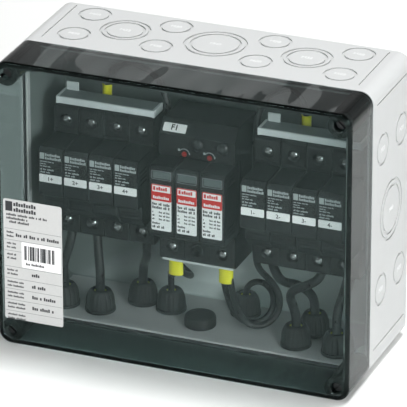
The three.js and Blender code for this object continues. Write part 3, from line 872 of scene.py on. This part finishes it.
def make_glands():
    for label, place in GLANDS.items():
        node = "blanking_plug" if label == "blank" else "gland_" + label
        top = mm_box(node)[1].z
        at = (place.x, place.y, 0)
        if label == "blank":
            profile = [(8, 0.3), (8, FLOOR), (10.4, FLOOR), (10.7, FLOOR + 0.3), (10.7, top - 2.2),
                       (10.2, top - 0.6), (9.4, top), (8.2, top), (8.0, top - 0.35), (0, top - 0.35)]
            thing = piece("blanking_cap", turned(profile, at, segments=96), BLACK, "root", [node])
            continue
        cable = LEAD_RADIUS if label.startswith("output") else CABLE_RADIUS
        hole = cable + 1.5
        profile = [(cable + 0.3, 0.3), (8, 0.3), (8, FLOOR), (10.1, FLOOR), (10.4, FLOOR + 0.3),
                   (10.4, FLOOR + 2.0), (10.1, FLOOR + 2.4), (9.9, FLOOR + 2.5), (9.6, top - 6.5),
                   (8.9, top - 4.0), (8.1, top - 2.2), (7.2, top - 0.8), (6.2, top - 0.1), (5.9, top),
                   (hole + 0.3, top), (hole, top - 0.3), (hole, top - 4), (cable + 0.3, top - 4)]
        nut = turned(profile, at, segments=96, radius_at=ribbed)
        piece("gland_nut_" + label, nut, BLACK, "root", [node])
        seal = turned([(cable + 0.1, top - 3.6), (hole + 0.1, top - 3.6), (hole + 0.1, top - 1.9),
                       (hole - 0.3, top - 1.4), (cable + 0.5, top - 1.3), (cable + 0.1, top - 1.6)],
                      at, segments=40)
        piece("gland_seal_" + label, seal, LIME, "root")


def make_wire(node, radius):
    """A round, smooth copy of a CAD cable."""
    bm = bmesh.new()
    bm.from_mesh(frame["nodes"][node].data)
    bmesh.ops.remove_doubles(bm, verts=bm.verts, dist=1e-6)
    bmesh.ops.join_triangles(bm, faces=bm.faces, angle_face_threshold=math.pi, angle_shape_threshold=math.pi)
    bmesh.ops.scale(bm, vec=(1 / MM,) * 3, verts=bm.verts)
    wire = piece("wire_" + node, bm, SHEATH, "root", [node])
    rounding = wire.modifiers.new("round", "SUBSURF")
    rounding.levels = rounding.render_levels = 2
    freeze(wire)
    swell = radius * 0.098 * MM  # what the rounding takes off the radius of an eight-sided tube
    outward = [v.normal.copy() for v in wire.data.vertices]
    for v, normal in zip(wire.data.vertices, outward):
        v.co += normal * swell
    wire.data.polygons.foreach_set("use_smooth", [True] * len(wire.data.polygons))


def oval(x, y, z, half_x, half_y, segments=40):
    return [(x + half_x * math.cos(a), y + half_y * math.sin(a), z)
            for a in (2 * math.pi * i / segments for i in range(segments))]


def make_ferrules():
    terminal_y = 1
    bottom = mm_box("spd_base")[0].z
    for i, x in enumerate((PLUG_X[0], PLUG_X[2])):
        sizes = [(4.7, 2.9, 0.6), (4.7, 2.9, -0.4), (4.85, 3.05, -0.9), (5.0, 3.2, -12.4), (5.1, 3.3, -12.9),
                 (4.9, 3.1, -13.2), (4.5, 2.7, -12.9), (4.5, 2.7, -8)]
        rings = [oval(x, terminal_y, bottom + z, a, b) for a, b, z in sizes]
        piece(f"twin_ferrule_{i + 1}", loft(rings), YELLOW, "root")
    for i, lead in enumerate(("lead_pos_link", "lead_neg_link")):
        x, y = lead_top(lead)
        profile = [(2.2, 0.1), (3.0, 0.1), (3.1, 0.4), (3.3, 9.4), (3.5, 10), (3.3, 10.3), (2.8, 10),
                   (2.3, 8)]
        ferrule = turned([(r, HOLDER_TOP + h) for r, h in profile], (x, y, 0), segments=32)
        piece(f"link_ferrule_{i + 1}", ferrule, YELLOW, "root")


def lead_top(node):
    """Middle of the end of a lead that stands on a fuse holder."""
    points = [v.co / MM for v in frame["nodes"][node].data.vertices]
    ends = [p for p in points if abs(p.z - HOLDER_TOP - 0.3) < 0.1]
    return sum(v.x for v in ends) / len(ends), sum(v.y for v in ends) / len(ends)


CABLE_RADIUS, LEAD_RADIUS = 3.1, 2.2
make_glands()
for node in frame["nodes"]:
    if node.startswith("cable_"):
        make_wire(node, CABLE_RADIUS)
    elif node.startswith("lead_"):
        make_wire(node, LEAD_RADIUS)
make_ferrules()

# ---- lid screws and label ----------------------------------------------------------------------------------


def make_lid_screws():
    for i, screw in enumerate(SCREWS):
        (_, front, _), (_, end, _) = mm_box(f"lid_screw_{i + 1}")
        profile = [(0, front), (3.3, front), (3.8, front + 0.5), (3.8, front + 5), (2.4, front + 5.02),
                   (2.5, end - 1), (2.0, end), (0, end)]
        head = piece(f"corner_screw_{i + 1}", turned(profile, (0, 0, 0), "Y", 40), SCREW_BLACK, None)
        carve(head, [block(-5, 5, front - 1, front + 1.6, -0.65, 0.65)])
        head.data.transform(Matrix.Translation(screw * MM - Vector((0, screw.y * MM, 0)))
                            @ Matrix.Rotation(math.radians(-45 if i in (1, 2) else 40), 4, "Y"))
        soften(head)
        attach(head, f"lid_screw_{i + 1}")
        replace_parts(head, f"lid_screw_{i + 1}")


LABEL = (-118, -76.3, 18.8, 105.7)  # x0, x1, z0, z1 of the rating label on the lid
# The label's rows from the top: the height, then the letters of its small words and of its large ones.
ROWS = [(21.3, (6,), (3, 2, 3, 1, 2, 6, 4)), (8.0, (4, 3), (7, 2)), (7.9, (5, 2), ()), (11.4, (6, 2), (4,)),
        (8.5, (9, 4), (2, 4)), (7.7, (9, 4), (3, 1, 6)), (8.0, (8, 6), (3, 5, 1)), (8.1, (8, 6), ())]
# Widths of the bars of a made-up barcode and of the gaps between them, by turns.
BARCODE = (2, 1, 1, 3, 1, 2, 2, 1, 1, 1, 3, 2, 1, 2, 1, 1, 2, 3,
           1, 1, 2, 1, 3, 1, 1, 2, 1, 2, 2, 1, 1, 3, 2, 1, 1)


def make_label():
    x0, x1, z0, z1 = LABEL
    face = FRONT - 0.25
    piece("rating_label", slab(rounded(x0, x1, z0, z1, 1.6), face, FRONT), FILM, "lid")
    left, right = x0 + 2.2, x1 - 2
    marks = [(left - 0.6, left + 4.4, z1 - 8.6, z1 - 1.6)]
    for z in (z1 - 4.6, z1 - 8.6):
        marks += greeked(left + 5.2, z, 3.0, left + 22, (20,))
    for k, words in enumerate(((7, 7, 4, 1, 2, 3), (13, 1), (5, 8))):
        marks += greeked(left + (0, 0, 2)[k], z1 - 11.8 - 2.6 * k, 1.7, right, words)
    lines, z = [], z1
    for height, small, large in ROWS:
        z -= height
        marks += greeked(left, z - 3.2, 1.4, right, small)
        marks += greeked(left, z - 6.0, 1.4, right, small[::-1])
        marks += greeked(left + (17.5 if lines else 6.5), z - 5.2, 2.4, right, large)
        lines.append((x0 + 0.6, x1 - 0.6, z - 0.12, z + 0.12))
    prints("label_marks", marks, face, INK, "lid", 0.05)
    prints("label_lines", lines, face, INK_GREY, "lid", 0.04)
    sticker = slab(rounded(x1 - 29, x1 - 1, 57.6, 76.0, 0.8), face - 0.1, face)
    piece("serial_sticker", sticker, WHITE, "lid")
    bars, x = [], x1 - 27
    for k, width in enumerate(BARCODE):
        if k % 2 == 0:
            bars.append((x, x + width * 0.5, 63.4, 73.6))
        x += width * 0.38
    bars += greeked(x1 - 26, 59.8, 1.7, x1 - 4, (3, 9))
    prints("serial_bars", bars, face - 0.1, INK, "lid", 0.05)


make_lid_screws()
make_label()


def make_rail():
    rail = piece("mounting_rail", node_copy("din_rail"), ZINC, "root", ["din_rail"], bevel=0.25)
    freeze(rail)
    step, half_slot = 25, 7.5
    middle = sum(v.z for v in mm_box("din_rail")) / 2
    slots = []
    for k in range(-3, 4):
        outline = rounded(k * step - half_slot, k * step + half_slot, middle - 2.6, middle + 2.6, 2.5)
        slots.append(slab(outline, 38, 43))
    soften(carve(rail, slots))


make_rail()
make_size_marks()

# ---- light, floor and the end ------------------------------------------------------------------------------


# Name, place and size in metres, and power in watts. The backdrop is there to be mirrored by the lid's top.
LAMPS = [("key", (3.2, -2.9, 1.1), 1.2, 96),
         ("near", (0.42, -0.42, 0.35), 0.15, 0.9),
         ("overhead", (0.3, 0.3, 2.4), 0.6, 56),
         ("backdrop", (-0.88, 2.13, 1.2), 0.3, 0.18),
         ("edge", (-1.25, -2.1, 2.7), 1.0, 14)]
SKY_HEIGHTS, SKY_LIGHT = (0.3, 0.8), (0.55, 0.08)  # sines of elevation, and the light below and above them
FLOOR_REACH, FLOOR_LEVEL = 8, -0.0005  # metres; just below the feet of the glands


def studio():
    world = bpy.data.worlds.new("studio")
    bpy.context.scene.world = world
    world.use_nodes = True
    tree = world.node_tree
    up = tree.nodes.new("ShaderNodeSeparateXYZ")
    tree.links.new(tree.nodes.new("ShaderNodeTexCoord").outputs["Generated"], up.inputs[0])
    sky = tree.nodes.new("ShaderNodeMapRange")
    for key, value in zip(("From Min", "From Max", "To Min", "To Max"), (*SKY_HEIGHTS, *SKY_LIGHT)):
        sky.inputs[key].default_value = value
    tree.links.new(up.outputs[2], sky.inputs["Value"])
    tree.nodes["Background"].inputs["Color"].default_value = (1, 1, 1, 1)
    tree.links.new(sky.outputs[0], tree.nodes["Background"].inputs["Strength"])
    bpy.context.scene.view_settings.view_transform = "Standard"
    for name, place, size, power in LAMPS:
        lamp = bpy.data.lights.new(name, "AREA")
        lamp.size = size
        lamp.energy = power
        thing = bpy.data.objects.new(name, lamp)
        thing.location = place
        thing.visible_camera = False
        thing.rotation_mode = "QUATERNION"
        thing.rotation_quaternion = (Vector((0, 0, 0.1)) - Vector(place)).to_track_quat("-Z", "Y")
        bpy.context.scene.collection.objects.link(thing)
    n = Nodes("floor")
    n.set(Base_Color=n.ramp(n.noise(3.0), 0.3, 0.7, ((0.86, 0.87, 0.86), (0.88, 0.89, 0.88))), Roughness=0.7)
    floor = bpy.data.objects.new("floor", bpy.data.meshes.new("floor"))
    quadrants = ((-1, -1), (1, -1), (1, 1), (-1, 1))
    corners = [(x * FLOOR_REACH, y * FLOOR_REACH, FLOOR_LEVEL) for x, y in quadrants]
    floor.data.from_pydata(corners, [], [(0, 1, 2, 3)])
    floor.data.materials.append(n.material)
    bpy.context.scene.collection.objects.link(floor)


studio()

CARRIED = {"lid_gasket": FOAM, "din_rail": ZINC, "rail_screw_1": ZINC, "rail_screw_2": ZINC}
for name, node in frame["nodes"].items():
    if not node.hide_render:
        node.data.materials.clear()
        node.data.materials.append(CARRIED.get(name, HOUSING))
